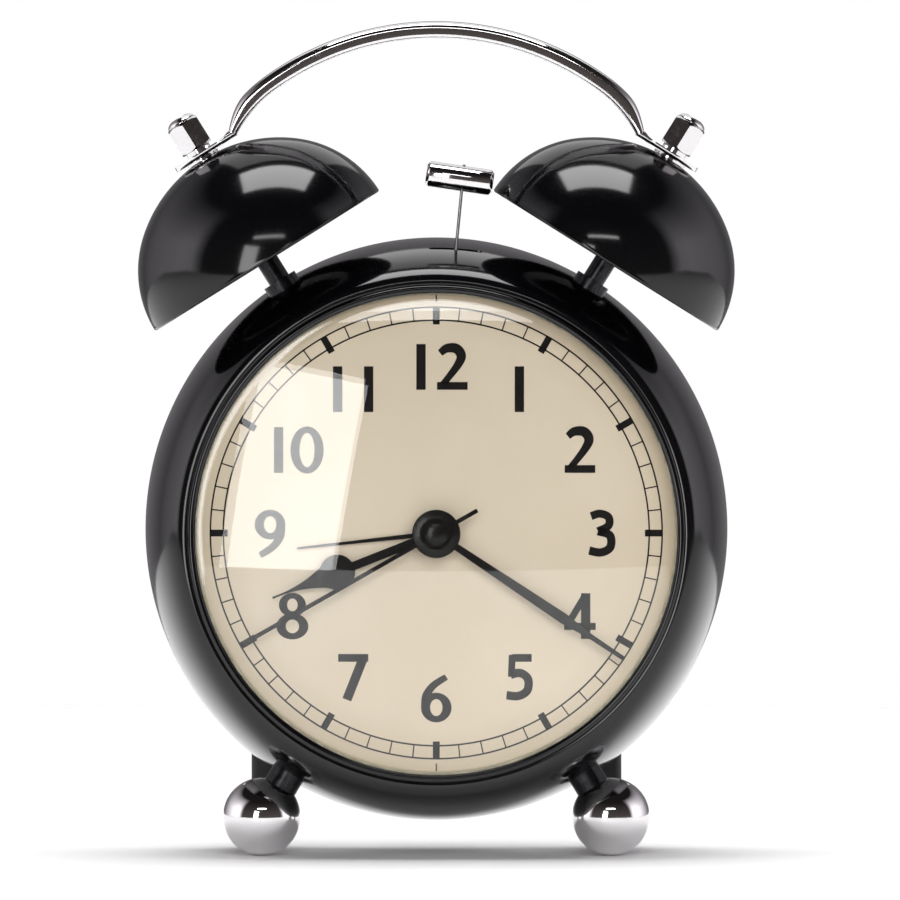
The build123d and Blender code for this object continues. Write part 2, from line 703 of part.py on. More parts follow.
with BuildPart() as rear_cover:
    ring(cover_r, 0, case_back, cover_back)
    fillet(rear_cover.edges().filter_by(GeomType.CIRCLE).sort_by(Axis.Y)[-1], 2.0)
    ring(53.2, 0, cover_front, case_back)
    ring(51.4, 0, cover_front - 1, cover_in, mode=Mode.SUBTRACT)
    # battery tray
    block(window_w + 1.8, window_h + 1.8, tray_front, cover_in, 0, window_z, corner=2)
    for angle in boss_angles:
        ring(3.4, 0, cover_front, cover_in, *polar(boss_r, angle))
    block(window_w, window_h, tray_front + 0.8, cover_back + 1, 0, window_z, corner=1.2, mode=Mode.SUBTRACT)
    # recess for the door, open at the bottom edge
    block(57.6, 44, door_y, cover_back + 1, 0, window_top + 0.5 - 22, mode=Mode.SUBTRACT)
    # knob wells, switch slot and screw holes
    for x, z in ((motion_x, motion_z), (alarm_x, alarm_z)):
        ring(2.6, 0, cover_in - 1, cover_back + 1, x, z, mode=Mode.SUBTRACT)
    block(11, 4.2, cover_in - 1, cover_back + 1, switch_x, switch_z, corner=1, mode=Mode.SUBTRACT)
    for angle in boss_angles:
        screw_x, screw_z = polar(boss_r, angle)
        ring(1.1, 0, cover_front - 1, cover_back + 1, screw_x, screw_z, mode=Mode.SUBTRACT)
        ring(2.3, 0, cover_back - 1.2, cover_back + 1, screw_x, screw_z, mode=Mode.SUBTRACT)
finish(rear_cover, "rear_cover")

with BuildPart() as rear_cover_screws:
    for angle in boss_angles:
        screw_x, screw_z = polar(boss_r, angle)
        ring(2.1, 0, cover_back - 1.2, cover_back - 0.1, screw_x, screw_z)
        ring(0.95, 0, cover_front - 7, cover_back - 1.2, screw_x, screw_z)
        block(2.6, 0.6, cover_back - 0.6, cover_back, screw_x, screw_z, mode=Mode.SUBTRACT)
        block(0.6, 2.6, cover_back - 0.6, cover_back, screw_x, screw_z, mode=Mode.SUBTRACT)
finish(rear_cover_screws, "rear_cover_screws")

door_w = 57.2
door_top = window_top + 0.3
door_bottom = window_bottom - 1.2
with BuildPart() as battery_door:
    door_z = (door_top + door_bottom) / 2
    block(door_w, door_top - door_bottom, door_y + 0.05, cover_back, 0, door_z, corner=1.5)
    # finger grip: a row of ribs' grooves
    for step in range(5):
        block(14, 0.7, cover_back - 0.5, cover_back + 1, 0, door_top - 5 - 1.6 * step, mode=Mode.SUBTRACT)
finish(battery_door, "battery_door")

with BuildPart() as battery_cells:
    for z, end in zip(cell_z, (1, -1)):
        cell = Plane(origin=(-end * cell_len / 2, cell_y, case_z + z), x_dir=(0, 1, 0), z_dir=(end, 0, 0))
        with BuildSketch(cell):
            Circle(cell_r)
        extrude(amount=cell_len - 1.2)
        with BuildSketch(cell.offset(cell_len - 1.2)):
            Circle(2.7)
        extrude(amount=1.2)
finish(battery_cells, "battery_cells")

contact_x = window_w / 2 - 0.4
with BuildPart() as battery_contacts:
    for z, end in zip(cell_z, (1, -1)):
        # flat plate at the cell's button, coil spring at its base
        with Locations((end * contact_x, cell_y, case_z + z)):
            Box(0.5, 10, 11)
        with Locations((-end * contact_x, cell_y, case_z + z)):
            Box(0.5, 10, 11)
        spring_start = (-end * (contact_x - 0.25), cell_y, case_z + z)
        spring_path = Helix(0.75, 1.5, 3.2, center=spring_start, direction=(end, 0, 0))
        with BuildSketch(Plane(origin=spring_path @ 0, z_dir=spring_path % 0)):
            Circle(0.25)
        sweep(path=spring_path, is_frenet=True)
finish(battery_contacts, "battery_contacts")


def knob(x, z, gear_end):
    # a fluted knob on its shaft, from the rear cover back
    with BuildSketch(facing(knob_back, x, z)) as outline:
        Circle(knob_r)
        with PolarLocations(knob_r + 0.35, 24):
            Circle(0.62, mode=Mode.SUBTRACT)
    extrude(outline.sketch, amount=knob_back - cover_back - 0.5)
    ring(2.5, 0, cover_in - 0.5, cover_back + 0.5, x, z)
    ring(knob_shaft_r, 0, gear_end, cover_in - 0.5, x, z)
    ring(4.6, 0, knob_back - 0.5, knob_back + 1, x, z, mode=Mode.SUBTRACT)
    block(6.4, 1.6, knob_back - 0.5, knob_back, x, z, corner=0.7)


with BuildPart() as time_set_knob:
    knob(motion_x, motion_z, third_layer)
finish(time_set_knob, "time_set_knob")

with BuildPart() as alarm_set_knob:
    knob(alarm_x, alarm_z, alarm_layer + 2.0)
finish(alarm_set_knob, "alarm_set_knob")

with BuildPart() as alarm_switch:
    block(14, 7, cover_in - 1.4, cover_in - 0.15, switch_x - 2, switch_z, corner=1)
    block(4.6, 3.8, cover_in - 0.15, cover_back + 2.2, switch_x - 2, switch_z, corner=0.8)
    fillet(alarm_switch.faces().sort_by(Axis.Y)[-1].edges(), 0.6)
finish(alarm_switch, "alarm_switch")

leg_x = 34.0
leg_y = case_back + 3.5
with BuildPart() as rear_legs:
    for side in (1, -1):
        with BuildSketch(Plane.XY.offset(1.2)):
            with Locations((side * leg_x, leg_y)):
                RectangleRounded(6.0, 5.0, 1.2)
        extrude(amount=26)
    # the top of each leg laps the cover's edge
    add(rear_cover.part, mode=Mode.SUBTRACT)
    ring(case_r + 0.4, 0, case_front, case_back, mode=Mode.SUBTRACT)
finish(rear_legs, "rear_legs")

with BuildPart() as rear_leg_pads:
    for side in (1, -1):
        with BuildSketch(Plane.XY):
            with Locations((side * leg_x, leg_y)):
                RectangleRounded(6.4, 5.4, 1.3)
        extrude(amount=1.2)
finish(rear_leg_pads, "rear_leg_pads")

# ---- striker ----
core_x = -9.0
core_top = 39.0
coil_low = 30.6
coil_top = 37.8
core_y = hammer_y + 2.6
bracket_y = hammer_y + 7.7
with BuildPart() as striker_bracket:
    # back wall, foot under the coil and an ear for the pivot pin
    block(26, 22.5, bracket_y, bracket_y + 1.2, -2.5, 39.5, corner=1)
    block(14, 1.2, frame_back, bracket_y, core_x, 29.4)
    block(14, 5.0, frame_back, frame_back + 0.8, core_x, 32.4)
    ring(0.8 + play, 0, bracket_y - 1, bracket_y + 2, pivot_x, pivot_z, mode=Mode.SUBTRACT)
finish(striker_bracket, "striker_bracket")

core_plane = Plane.XY.offset(case_z + 28.8)
with BuildPart() as striker_core:
    with BuildSketch(core_plane.offset(1.2)):
        with Locations((core_x, core_y)):
            Circle(2.0)
    extrude(amount=core_top - 30.0)
finish(striker_core, "striker_core")

with BuildPart() as striker_coil:
    with BuildSketch(Plane.XY.offset(case_z + coil_low)):
        with Locations((core_x, core_y)):
            Circle(4.1)
            Circle(2.0, mode=Mode.SUBTRACT)
    extrude(amount=coil_top - coil_low)
    for height in (coil_low - 0.6, coil_top - 0.2):
        with BuildSketch(Plane.XY.offset(case_z + height)):
            with Locations((core_x, core_y)):
                Circle(4.8)
                Circle(2.0, mode=Mode.SUBTRACT)
        extrude(amount=0.8)
finish(striker_coil, "striker_coil")

with BuildPart() as pivot_pin:
    ring(0.8, 0, hammer_y - 2.6, bracket_y + 1.2, pivot_x, pivot_z)
    ring(1.5, 0, hammer_y - 3.1, hammer_y - 2.6, pivot_x, pivot_z)
finish(pivot_pin, "pivot_pin")

with BuildPart() as return_spring:
    coil_base = (pivot_x, bracket_y - 3.2, case_z + pivot_z)
    coil_path = Helix(0.6, 2.4, 1.35, center=coil_base, direction=(0, 1, 0))
    with BuildSketch(Plane(origin=coil_path @ 0, z_dir=coil_path % 0)):
        Circle(0.2)
    sweep(path=coil_path, is_frenet=True)
finish(return_spring, "return_spring")

wire_lean = 5.5
head_droop = 8.5
wire_r = 0.3
hammer_reach = 22.2
with BuildPart() as armature:
    # hub on the pin, with an arm over the coil's core
    ring(2.2, 0, hammer_y - 1.8, hammer_y + 1.8, pivot_x, pivot_z)
    block(15, 1.2, hammer_y - 1.8, core_y + 2.0, pivot_x - 8.4, pivot_z - 0.9)
    ring(0.8 + play, 0, hammer_y - 3, hammer_y + 3, pivot_x, pivot_z, mode=Mode.SUBTRACT)
finish(armature, "armature")

wire_dir = (sin(radians(wire_lean)), 0, cos(radians(wire_lean)))
wire_foot = (pivot_x + 1.6 * wire_dir[0], hammer_y, case_z + pivot_z + 1.6 * wire_dir[2])
head_x = pivot_x + hammer_reach * wire_dir[0] - 0.6
head_centre = (head_x, hammer_y, case_z + pivot_z + hammer_reach * wire_dir[2])
head_dir = (cos(radians(head_droop)), 0, -sin(radians(head_droop)))
head_base = tuple(middle - head_len / 2 * step for middle, step in zip(head_centre, head_dir))
with BuildPart() as hammer_head:
    with BuildSketch(Plane(origin=head_base, x_dir=(0, 1, 0), z_dir=head_dir)):
        Circle(head_r)
    extrude(amount=head_len)
    chamfer(hammer_head.edges().filter_by(GeomType.CIRCLE), 0.7)
    with BuildSketch(Plane(origin=wire_foot, x_dir=(0, 1, 0), z_dir=wire_dir)):
        Circle(wire_r + 0.02)
    extrude(amount=40, mode=Mode.SUBTRACT)
finish(hammer_head, "hammer_head")

with BuildPart() as hammer_wire:
    with BuildSketch(Plane(origin=wire_foot, x_dir=(0, 1, 0), z_dir=wire_dir)):
        Circle(wire_r)
    extrude(amount=hammer_reach + head_r - 1.4)
    add(armature.part, mode=Mode.SUBTRACT)
finish(hammer_wire, "hammer_wire")
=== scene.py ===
import json
import math

import bmesh
import bpy
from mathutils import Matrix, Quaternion, Vector


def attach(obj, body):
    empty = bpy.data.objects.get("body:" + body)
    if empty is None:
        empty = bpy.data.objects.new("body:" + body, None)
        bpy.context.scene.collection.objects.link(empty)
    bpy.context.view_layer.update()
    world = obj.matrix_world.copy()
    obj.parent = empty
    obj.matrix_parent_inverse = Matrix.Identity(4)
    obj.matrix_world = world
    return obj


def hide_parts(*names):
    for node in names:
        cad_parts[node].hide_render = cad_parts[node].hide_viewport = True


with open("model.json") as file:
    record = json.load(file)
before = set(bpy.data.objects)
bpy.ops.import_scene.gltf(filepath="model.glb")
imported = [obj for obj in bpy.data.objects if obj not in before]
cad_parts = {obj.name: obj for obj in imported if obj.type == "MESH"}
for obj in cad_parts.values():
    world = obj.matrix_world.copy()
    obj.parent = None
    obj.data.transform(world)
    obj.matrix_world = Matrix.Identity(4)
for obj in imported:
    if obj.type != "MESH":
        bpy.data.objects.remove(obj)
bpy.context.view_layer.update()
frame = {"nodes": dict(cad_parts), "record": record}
mm = 0.001

# where the clock's own parts lie, in millimetres
clock = {
    "dialHeight": 64.0,
    "dialFront": -13.0,
    "apertureRadius": 47.3,
    "shoulderRadius": 49.3,
    "caseRadius": 58.0,
    "caseFront": -20.0,
    "caseCrown": 15.0,
    "caseBack": 17.0,
    "wall": 1.2,
    "bellDepth": -2.0,
    "bellTilt": 32.0,
}


class Wire:  # an output socket that can be used in ordinary sums
    def __init__(self, net, socket):
        self.net = net
        self.socket = socket

    def sum(self, operation, first, second):
        return self.net.add("ShaderNodeMath", {"operation": operation}, {0: first, 1: second})

    def __add__(self, other):
        return self.sum("ADD", self, other)

    def __radd__(self, other):
        return self.sum("ADD", other, self)

    def __sub__(self, other):
        return self.sum("SUBTRACT", self, other)

    def __rsub__(self, other):
        return self.sum("SUBTRACT", other, self)

    def __mul__(self, other):
        return self.sum("MULTIPLY", self, other)

    def __rmul__(self, other):
        return self.sum("MULTIPLY", other, self)

    def __gt__(self, other):
        return self.sum("GREATER_THAN", self, other)


class Net:  # the node tree of one material, or of the world
    def __init__(self, name, owner=None):
        self.material = owner or bpy.data.materials.new(name)
        self.material.use_nodes = True
        self.tree = self.material.node_tree
        self.tree.nodes.clear()

    def add(self, kind, settings=None, inputs=None, output=0):
        node = self.tree.nodes.new(kind)
        for key, value in (settings or {}).items():
            setattr(node, key, value)
        for key, value in (inputs or {}).items():
            self.feed(node.inputs[key], value)
        return Wire(self, node.outputs[output])

    def feed(self, socket, value):
        if isinstance(value, Wire):
            self.tree.links.new(value.socket, socket)
        elif hasattr(value, "__len__") and len(value) == 3 and socket.type == "RGBA":
            socket.default_value = (*value, 1.0)
        else:
            socket.default_value = value

    def place(self, stretch=(1.0, 1.0, 1.0)):
        spot = self.add("ShaderNodeTexCoord", output="Object")
        return self.add("ShaderNodeMapping", {"vector_type": "POINT"}, {"Vector": spot, "Scale": stretch})

    def noise(self, scale, detail=3.0, stretch=(1.0, 1.0, 1.0)):
        inputs = {"Vector": self.place(stretch), "Scale": scale, "Detail": detail}
        return self.add("ShaderNodeTexNoise", None, inputs)

    def ramp(self, value, low, high):  # 0 at low, 1 at high
        return self.add("ShaderNodeMapRange", None, {"Value": value, "From Min": low, "From Max": high})

    def blend(self, mask, first, second):
        return self.add("ShaderNodeMix", {"data_type": "RGBA"}, {0: mask, 6: first, 7: second}, output=2)

    def bump(self, height, strength, distance):
        inputs = {"Height": height, "Strength": strength, "Distance": distance}
        return self.add("ShaderNodeBump", None, inputs)

    def finish(self, shader, outputKind="ShaderNodeOutputMaterial"):
        output = self.tree.nodes.new(outputKind)
        self.tree.links.new(shader.socket, output.inputs["Surface"])
        return self.material

    def surface(self, **inputs):
        named = {key.replace("_", " "): value for key, value in inputs.items()}
        return self.finish(self.add("ShaderNodeBsdfPrincipled", None, named))


glossPaint = {
    "color": (0.0008, 0.0008, 0.0011),
    "bloom": (0.0020, 0.0020, 0.0027),
    "dust": (0.06, 0.06, 0.065),
    "roughness": 0.09,
    "peel": 0.000004,
}


def makeGlossPaint():
    net = Net("glossBlackEnamel")
    mottle = net.noise(22.0, 2.0)
    speck = net.ramp(net.noise(5200.0, 1.0), 0.70, 0.78)
    color = net.blend(mottle, glossPaint["color"], glossPaint["bloom"])
    color = net.blend(speck * 0.25, color, glossPaint["dust"])
    smear = net.ramp(net.noise(60.0, 4.0), 0.35, 0.75)
    peel = net.noise(420.0, 1.5)  # the orange peel of sprayed enamel
    return net.surface(
        Base_Color=color,
        Roughness=glossPaint["roughness"] + smear * 0.05 + speck * 0.2,
        Normal=net.bump(peel, 0.10, glossPaint["peel"]),
        IOR=1.5,
    )


chromePlate = {"color": (0.80, 0.79, 0.80), "stain": (0.62, 0.60, 0.60), "roughness": 0.045}


def makeChrome():
    net = Net("polishedChrome")
    stain = net.ramp(net.noise(90.0, 5.0), 0.45, 0.8)
    rub = net.noise(900.0)
    return net.surface(
        Base_Color=net.blend(stain * 0.5, chromePlate["color"], chromePlate["stain"]),
        Metallic=1.0,
        Roughness=chromePlate["roughness"] + stain * 0.05 + net.ramp(rub, 0.45, 0.75) * 0.06,
        Normal=net.bump(rub, 0.05, 0.00001),
    )


def makeSteel(name, color, dark, roughness):
    net = Net(name)
    brush = net.noise(700.0, 4.0, (1.0, 8.0, 1.0))  # brush marks run across the depth
    return net.surface(
        Base_Color=net.blend(net.ramp(brush, 0.35, 0.7), color, dark),
        Metallic=1.0,
        Roughness=roughness + brush * 0.15,
        Normal=net.bump(brush, 0.15, 0.00003),
    )


def makePlastic(name, color, light, roughness, grain=1500, depth=0.00006):
    net = Net(name)
    pebbles = net.noise(grain)
    cloud = net.noise(35.0, 2.0)
    shine = net.ramp(net.noise(80.0, 4.0), 0.4, 0.7)  # where fingers have polished it
    return net.surface(
        Base_Color=net.blend(cloud, color, light),
        Roughness=roughness + shine * 0.12,
        Normal=net.bump(pebbles, 0.5, depth),
        IOR=1.46,
    )


dialFinish = {
    "cream": (0.696, 0.583, 0.454),
    "pale": (0.771, 0.655, 0.529),
    # edge is a darker cream, used both for fibre specks and for painted shade towards the dial's rim
    "edge": (0.603, 0.498, 0.370),
    "rimShadeFrom": 38.0,
    "rimShadeTo": 48.8,
}


def makeDial():
    net = Net("creamDialEnamel")
    spot = net.add("ShaderNodeTexCoord", output="Object")
    centre = (0.0, clock["dialFront"] * mm, clock["dialHeight"] * mm)
    away = net.add("ShaderNodeVectorMath", {"operation": "DISTANCE"}, {0: spot, 1: centre}, output="Value")
    # rim rises from 0 to 1 across the outer band of the dial, where the case's lip shades it
    rim = net.ramp(away, dialFinish["rimShadeFrom"] * mm, dialFinish["rimShadeTo"] * mm)
    cloud = net.noise(30.0, 4.0)
    fibre = net.noise(2600.0, 4.0)
    color = net.blend(net.ramp(cloud, 0.3, 0.7), dialFinish["cream"], dialFinish["pale"])
    color = net.blend(net.ramp(fibre, 0.62, 0.8) * 0.25, color, dialFinish["edge"])
    # painted shade: the dial is darkened towards its rim, under the case's lip
    color = net.blend(rim * 0.5, color, dialFinish["edge"])
    return net.surface(
        Base_Color=color,
        Roughness=0.42 + fibre * 0.15,
        Normal=net.bump(fibre, 0.2, 0.00002),
        Specular_IOR_Level=0.4,
    )


inkFinish = {"full": (0.006, 0.005, 0.005), "thin": (0.030, 0.026, 0.023)}


def makeInk():
    net = Net("printedInk")
    weave = net.noise(3500.0)
    thin = net.ramp(weave, 0.62, 0.82)  # places where the print is thin
    return net.surface(
        Base_Color=net.blend(thin * 0.5, inkFinish["full"], inkFinish["thin"]),
        Roughness=0.6 + weave * 0.2,
        Normal=net.bump(weave, 0.3, 0.00001),
        Specular_IOR_Level=0.2,
    )


glassFinish = {"tint": (0.975, 0.985, 0.98), "mirror": (1.0, 1.0, 1.0), "roughness": 0.006, "ior": 1.5}


def makeGlass():
    net = Net("domedGlass")
    clear = net.add("ShaderNodeBsdfTransparent", None, {"Color": glassFinish["tint"]})
    polish = {"Color": glassFinish["mirror"], "Roughness": glassFinish["roughness"]}
    mirror = net.add("ShaderNodeBsdfGlossy", None, polish)
    edge = net.add("ShaderNodeFresnel", None, {"IOR": glassFinish["ior"]})
    return net.finish(net.add("ShaderNodeMixShader", None, {0: edge, 1: clear, 2: mirror}))


handFinish = {"deep": (0.0012, 0.0012, 0.0014), "worn": (0.0040, 0.0038, 0.0040)}


def makeHand():
    net = Net("handLacquer")
    brush = net.noise(1600.0, stretch=(1.0, 1.0, 4.0))
    return net.surface(
        Base_Color=net.blend(brush, handFinish["deep"], handFinish["worn"]),
        Roughness=0.16 + brush * 0.1,
        Normal=net.bump(brush, 0.1, 0.00001),
        Specular_IOR_Level=0.3,
    )


copperFinish = {"gap": (0.24, 0.07, 0.025), "wire": (0.60, 0.24, 0.10), "turns": 900.0}


def makeCopper():
    net = Net("copperWinding")
    turns = net.add(
        "ShaderNodeTexWave",
        {"wave_type": "BANDS", "bands_direction": "DIAGONAL"},
        {"Vector": net.place(), "Scale": copperFinish["turns"], "Distortion": 0.4},
    )
    return net.surface(
        Base_Color=net.blend(turns, copperFinish["gap"], copperFinish["wire"]),
        Metallic=1.0,
        Roughness=0.25 + turns * 0.2,
        Normal=net.bump(turns, 0.6, 0.00008),
    )


boardFinish = {"mask": (0.015, 0.10, 0.035), "track": (0.05, 0.22, 0.09), "pitch": 260.0}


def makeBoard():
    net = Net("circuitBoardGreen")
    inputs = {"Vector": net.place(), "Scale": boardFinish["pitch"], "Mortar Size": 0.05}
    tracks = net.add("ShaderNodeTexBrick", None, inputs, output="Fac")
    return net.surface(
        Base_Color=net.blend(tracks, boardFinish["mask"], boardFinish["track"]),
        Roughness=0.35 + net.noise(300.0) * 0.2,
        Normal=net.bump(tracks, 0.4, 0.00004),
    )


cellFinish = {"wrap": (0.03, 0.032, 0.038), "band": (0.50, 0.34, 0.12), "bandFrom": 12.0}


def makeCellWrap():
    net = Net("cellWrap")
    spot = net.add("ShaderNodeTexCoord", output="Object")
    along = net.add("ShaderNodeSeparateXYZ", None, {0: spot}, output="X")
    grain = net.noise(1200.0)
    return net.surface(
        Base_Color=net.blend(along > cellFinish["bandFrom"] * mm, cellFinish["wrap"], cellFinish["band"]),
        Metallic=0.2,
        Roughness=0.22 + grain * 0.12,
        Normal=net.bump(grain, 0.1, 0.00002),
    )


finishes = {
    "black_paint": makeGlossPaint(),
    "chrome": makeChrome(),
    "black_steel": makeSteel("blackenedSteel", (0.020, 0.020, 0.022), (0.045, 0.045, 0.048), 0.22),
    "steel": makeSteel("zincSteel", (0.50, 0.50, 0.51), (0.30, 0.29, 0.29), 0.25),
    "glass": makeGlass(),
    "rubber": makePlastic("blackRubber", (0.012, 0.012, 0.012), (0.022, 0.022, 0.021), 0.75, 2200),
    "cream_plastic": makePlastic("creamRing", (0.62, 0.57, 0.44), (0.68, 0.63, 0.50), 0.4),
    "dial_print": makeDial(),
    "black_plastic": makePlastic("blackMoulding", (0.010, 0.010, 0.011), (0.020, 0.020, 0.021), 0.48),
    "grey_plastic": makePlastic("greyMoulding", (0.22, 0.22, 0.23), (0.30, 0.30, 0.30), 0.45),
    "copper": makeCopper(),
    "board": makeBoard(),
    "magnet": makeSteel("rotorMagnet", (0.10, 0.10, 0.11), (0.05, 0.05, 0.055), 0.4),
    "white_plastic": makePlastic("acetalGear", (0.66, 0.66, 0.62), (0.74, 0.74, 0.70), 0.38, 2400, 0.00002),
    "hand_black": makeHand(),
    "cell_wrap": makeCellWrap(),
}
for entry in frame["record"]["subparts"]:
    node = frame["nodes"].get(entry["node"])
    if node:
        node.data.materials.clear()
        node.data.materials.append(finishes[entry["material_slot"]])
print("finishes on the carried-over nodes")


def addObject(name, bm):
    data = bpy.data.meshes.new(name)
    bm.to_mesh(data)
    bm.free()
    piece = bpy.data.objects.new(name, data)
    bpy.context.collection.objects.link(piece)
    return piece


def meshObject(name, body, slotName, bm, sharp=38.0):  # edges steeper than sharp stay crisp
    bmesh.ops.remove_doubles(bm, verts=bm.verts, dist=1e-7)
    bmesh.ops.recalc_face_normals(bm, faces=bm.faces)
    for face in bm.faces:
        face.smooth = True
    for edge in bm.edges:
        if len(edge.link_faces) == 2 and edge.calc_face_angle(0.0) > math.radians(sharp):
            edge.smooth = False
    piece = addObject(name, bm)
    piece.data.materials.append(finishes[slotName])
    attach(piece, body)
    return piece


def turned(profile, centre, axis, steps):
    # turns a closed profile of (radius, along) points, in millimetres, about an axis through centre
    bm = bmesh.new()
    along = Vector(axis).normalized()
    side = along.orthogonal().normalized()
    other = along.cross(side)
    rings = []
    for radius, height in profile:
        middle = Vector(centre) + along * height
        if radius < 1e-6:
            rings.append([bm.verts.new(middle * mm)] * steps)
            continue
        ring = []
        for step in range(steps):
            turn = 2 * math.pi * step / steps
            out = side * (radius * math.cos(turn)) + other * (radius * math.sin(turn))
            ring.append(bm.verts.new((middle + out) * mm))
        rings.append(ring)
    for first, second in zip(rings, rings[1:] + rings[:1]):
        for step in range(steps):
            after = (step + 1) % steps
            unique = list(dict.fromkeys([first[step], first[after], second[after], second[step]]))
            if len(unique) > 2:  # a point on the axis leaves a triangle
                bm.faces.new(unique)
    return bm


def arcPoints(centreX, centreY, radiusX, radiusY, start, end, count):
    turns = [math.radians(start + (end - start) * step / count) for step in range(count + 1)]
    return [(centreX + radiusX * math.cos(turn), centreY + radiusY * math.sin(turn)) for turn in turns]


def grow(bm, lift):  # gives flat faces a body by lifting a copy of them
    grown = bmesh.ops.extrude_face_region(bm, geom=bm.faces[:])
    lifted = [item for item in grown["geom"] if isinstance(item, bmesh.types.BMVert)]
    bmesh.ops.translate(bm, verts=lifted, vec=lift)
    bmesh.ops.recalc_face_normals(bm, faces=bm.faces)


dialCentre = (0.0, 0.0, clock["dialHeight"])
backwards = (0.0, 1.0, 0.0)
tilt = math.radians(clock["bellTilt"])

shell = {
    "beadRadius": 48.1,
    "beadWide": 0.8,
    "beadHigh": 0.7,
    "beadLift": 0.4,
    "hemRadius": 53.5,
    "hemRoll": 1.6,
    "grooveDepth": 0.55,
    "steps": 288,
}
hammerSlot = {"left": -0.6, "right": 8.2, "depth": -7.5, "half": 0.9, "from": 114.0, "to": 126.0}


def shellProfile():
    shoulder, wall = clock["shoulderRadius"], clock["wall"]
    front, back, crown = clock["caseFront"], clock["caseBack"], clock["caseCrown"]
    radius, roll = clock["caseRadius"], shell["hemRoll"]
    wide, glassSeat = radius - shoulder, front + wall
    beadMiddle = front + shell["beadLift"]
    bead = arcPoints(shell["beadRadius"], beadMiddle, shell["beadWide"], shell["beadHigh"], 180, 360, 12)
    # the groove between bead and shoulder has soft edges
    low = front + shell["grooveDepth"]
    groove = [(shoulder - 0.4, low), (shoulder - 0.1, low - 0.05), (shoulder - 0.03, front + 0.12)]
    outside = arcPoints(shoulder, crown, wide, crown - front, -90, 0, 72)
    edge = arcPoints(radius - roll, back - roll, roll, roll, 0, 90, 8)
    hem = [(shell["hemRadius"], back), (shell["hemRadius"], back - wall), (radius - wall, back - wall)]
    inside = arcPoints(shoulder, crown, wide - wall, crown - glassSeat, 0, -90, 48)
    return [(clock["apertureRadius"], glassSeat)] + bead + groove + outside + edge + hem + inside


def slotCutter():
    half, depth = hammerSlot["half"], hammerSlot["depth"]
    outline = arcPoints(hammerSlot["right"], depth, half, half, -90, 90, 8)
    outline += arcPoints(hammerSlot["left"], depth, half, half, 90, 270, 8)
    bm = bmesh.new()
    bm.faces.new([bm.verts.new((x * mm, y * mm, hammerSlot["from"] * mm)) for x, y in outline])
    grow(bm, (0, 0, (hammerSlot["to"] - hammerSlot["from"]) * mm))
    return addObject("slotCutter", bm)


def makeCase():
    bm = turned(shellProfile(), dialCentre, backwards, shell["steps"])
    piece = meshObject("caseShell", "case", "black_paint", bm)
    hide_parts("case_shell")
    # the hammer's slot is cut through the top of the shell
    tool = slotCutter()
    cut = piece.modifiers.new("slot", "BOOLEAN")
    cut.object = tool
    cut.operation = "DIFFERENCE"
    cut.solver = "EXACT"
    bpy.context.view_layer.update()
    finished = bpy.data.meshes.new_from_object(piece.evaluated_get(bpy.context.evaluated_depsgraph_get()))
    piece.modifiers.clear()
    piece.data = finished
    bpy.data.objects.remove(tool)


makeCase()
print("case shell")

glass = {
    "top": -24.0,
    "thickness": 1.5,
    "rim": 47.0,
    "flange": 48.8,
    "flangeFront": -18.5,
    "flangeBack": -17.3,
}


def domePoints(rim, rimDepth, top, count):  # a ball's cap from its top out to the rim
    rise = rimDepth - top
    radius = (rim * rim + rise * rise) / (2 * rise)
    spread = math.asin(rim / radius)
    points = []
    for step in range(count + 1):
        turn = spread * step / count
        points.append((radius * math.sin(turn), top + radius - radius * math.cos(turn)))
    return points


def makeCrystal():
    outer = domePoints(glass["rim"], glass["flangeFront"], glass["top"], 40)
    inner = domePoints(glass["rim"] - 0.2, glass["flangeBack"], glass["top"] + glass["thickness"], 40)
    flange = [(glass["flange"], glass["flangeFront"]), (glass["flange"], glass["flangeBack"])]
    bm = turned(outer + flange + inner[::-1], dialCentre, backwards, 192)
    crystal = meshObject("domeGlass", "case", "glass", bm)
    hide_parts("crystal")


makeCrystal()
print("glass")

bell = {"radius": 26.15, "height": 23.8, "sideRadius": 22.5, "wall": 0.9, "rimAt": 63.0, "bore": 1.56}


def bellProfile():
    # outside and inside are each a side arc that runs smoothly into a wider crown arc
    wall, rimAt, side = bell["wall"], bell["rimAt"], bell["sideRadius"]
    shift = bell["radius"] - side
    crown = (shift**2 + bell["height"]**2 - side**2) / (2 * (bell["height"] - side))
    join = math.degrees(math.atan2(crown - bell["height"], shift))
    top = rimAt + bell["height"] - crown
    outer = arcPoints(0, top, crown, crown, 90, join, 40)
    outer += arcPoints(shift, rimAt, side, side, join, 1.2, 40)[1:]
    rim = arcPoints(bell["radius"] - wall / 2, rimAt + wall / 2, wall / 2, wall / 2, 0, -180, 12)
    inner = arcPoints(shift, rimAt, side - wall, side - wall, 1.2, join, 30)
    inner += arcPoints(0, top, crown - wall, crown - wall, join, 90, 30)[1:]
    return [(max(radius, bell["bore"]), height) for radius, height in outer + rim + inner]


def makeBell(name, node, side):
    centre = (0.0, clock["bellDepth"], clock["dialHeight"])
    axis = (side * math.sin(tilt), 0.0, math.cos(tilt))
    piece = meshObject(name, "case", "black_paint", turned(bellProfile(), centre, axis, 224))
    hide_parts(node)


makeBell("bellDomeRight", "bell_right", 1)
makeBell("bellDomeLeft", "bell_left", -1)
print("bells")

handle = {
    "topRadius": 58.0,
    "topCentre": 42.8,
    "topSweep": 36.0,
    "sideRadius": 28.0,
    "endAngle": 62.0,
    "crown": 2.35,
    "flatFrom": 46.0,
    "flatOver": 26.0,
    "width": 10.0,
    "strip": 1.0,
    "tabAt": 87.25,
    "tabStart": -4.6,
    "tabEnd": 5.8,
    "tabWidth": 9.4,
    "squareness": 4.0,
    "steps": 40,
}


def fadeOut(share):
    return 0.5 + 0.5 * math.cos(math.pi * min(1.0, share))


